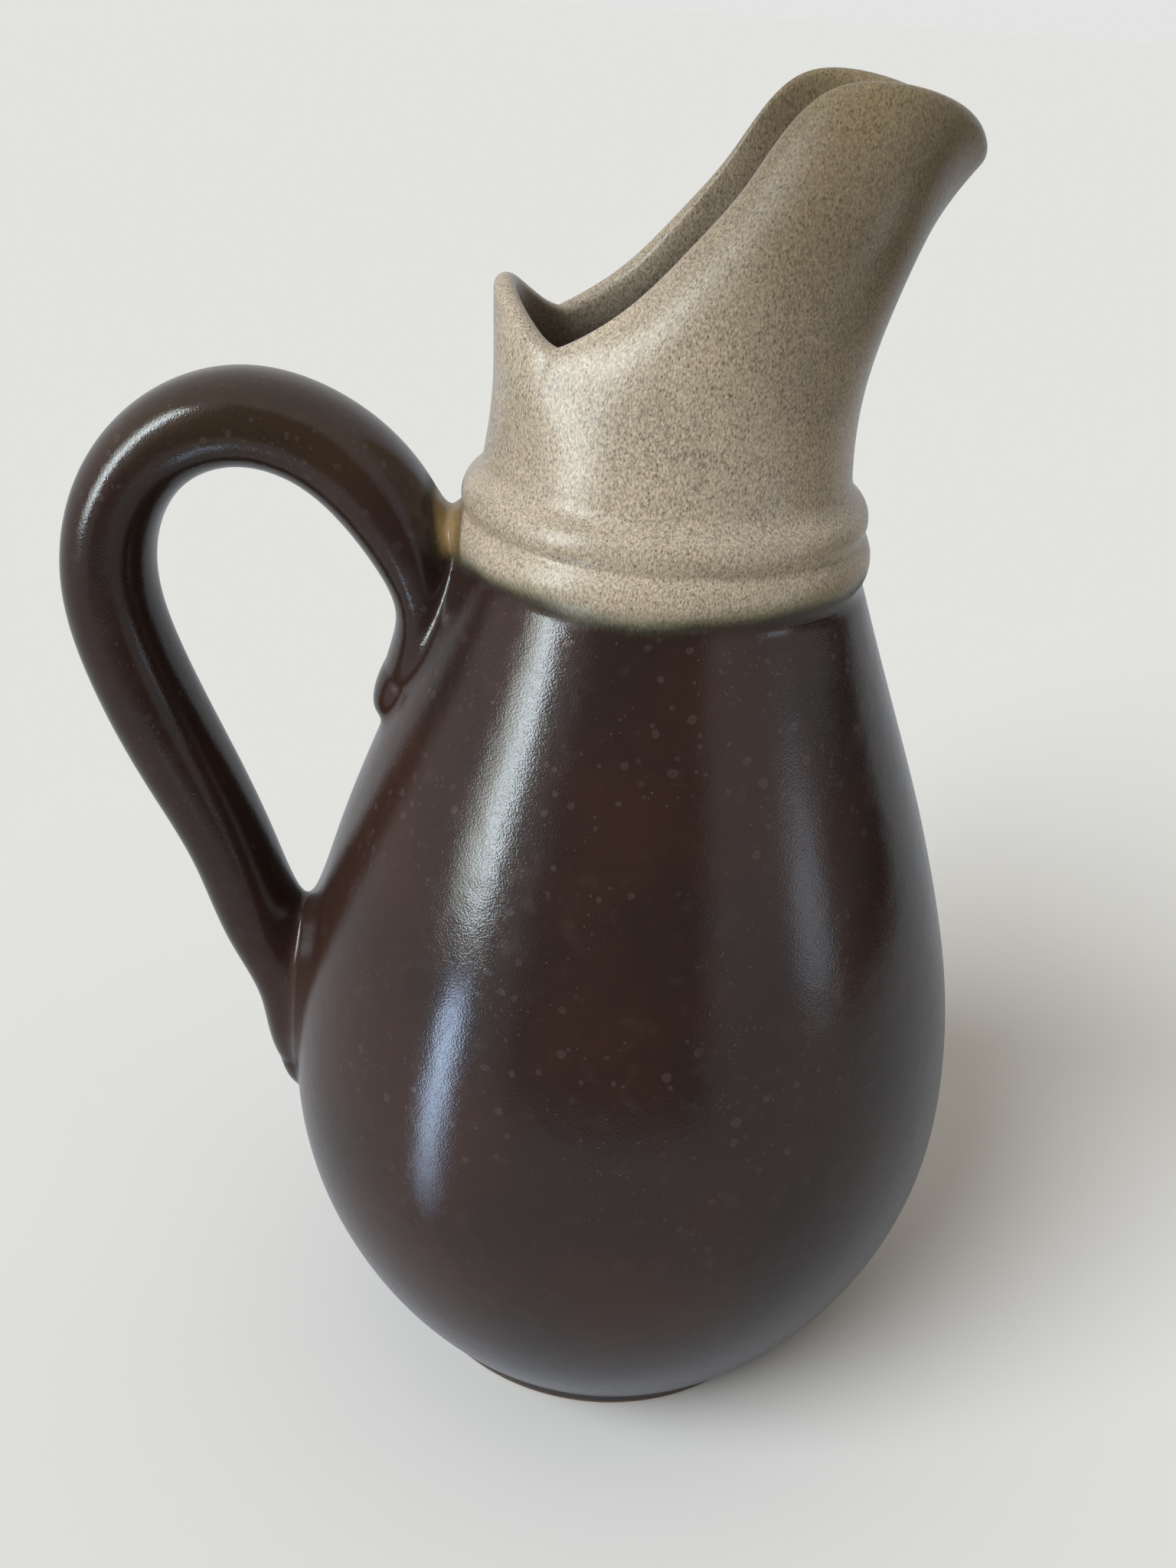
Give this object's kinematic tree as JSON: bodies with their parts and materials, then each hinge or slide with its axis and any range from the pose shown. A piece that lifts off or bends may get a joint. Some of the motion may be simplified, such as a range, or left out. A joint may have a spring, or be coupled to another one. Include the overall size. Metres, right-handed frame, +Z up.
{
  "type": "stoneware jug",
  "caption": "Egg-shaped stoneware jug with a foot ring, a ribbed collar, a cut-away beak spout and a looped strap handle, for pouring drinks.",
  "frame": {"origin": "on the body's axis, in the plane that the foot ring rests on", "axes": "+Z up, +X towards the spout's pouring tip, -X towards the handle"},
  "size_m": [0.1509, 0.116, 0.2167],
  "materials": {
    "brown_glaze": "semi-gloss dark brown glaze",
    "oatmeal_glaze": "satin speckled oatmeal glaze",
    "bare_stoneware": "bare fired clay"
  },
  "bodies": {
    "root": {"foot_ring": "bare_stoneware", "body": "brown_glaze", "collar": "oatmeal_glaze", "spout": "oatmeal_glaze", "upper_handle_root": "brown_glaze", "handle": "brown_glaze", "lower_handle_root": "brown_glaze"}
  },
  "joints": []
}
